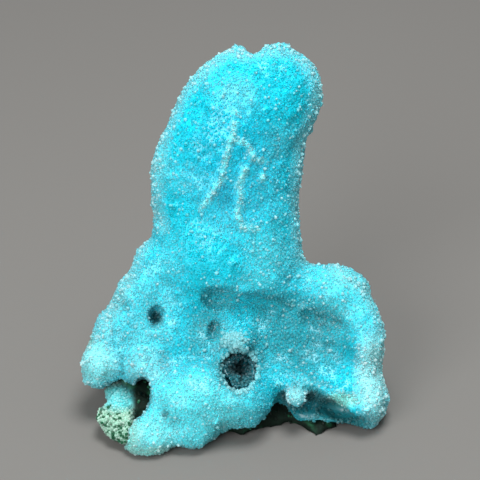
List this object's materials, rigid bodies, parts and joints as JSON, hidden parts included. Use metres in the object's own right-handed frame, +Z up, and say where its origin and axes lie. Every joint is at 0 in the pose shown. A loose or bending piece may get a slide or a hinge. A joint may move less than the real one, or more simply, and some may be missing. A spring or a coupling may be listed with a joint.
{
  "type": "chrysocolla with malachite mineral specimen",
  "caption": "Standing mineral specimen: a leaning column of blue chrysocolla with a drusy quartz skin on a lumpy hollowed base, over dark malachite rock.",
  "frame": {"origin": "middle of the box's underside, on the surface that the specimen stands on", "axes": "+Z up along the column, +X to the right seen from the front, front to -Y"},
  "size_m": [0.0564, 0.0456, 0.0637],
  "materials": {
    "chrysocolla": "sparkling skin of fine clear quartz over cyan blue chrysocolla",
    "malachite": "dull dark green rock, paler and speckled at the left outcrop",
    "quartz": "small clear quartz points, slightly blue"
  },
  "bodies": {
    "root": {"chrysocolla": "chrysocolla", "malachite_matrix": "malachite", "hollow_crust": "quartz"}
  },
  "joints": []
}
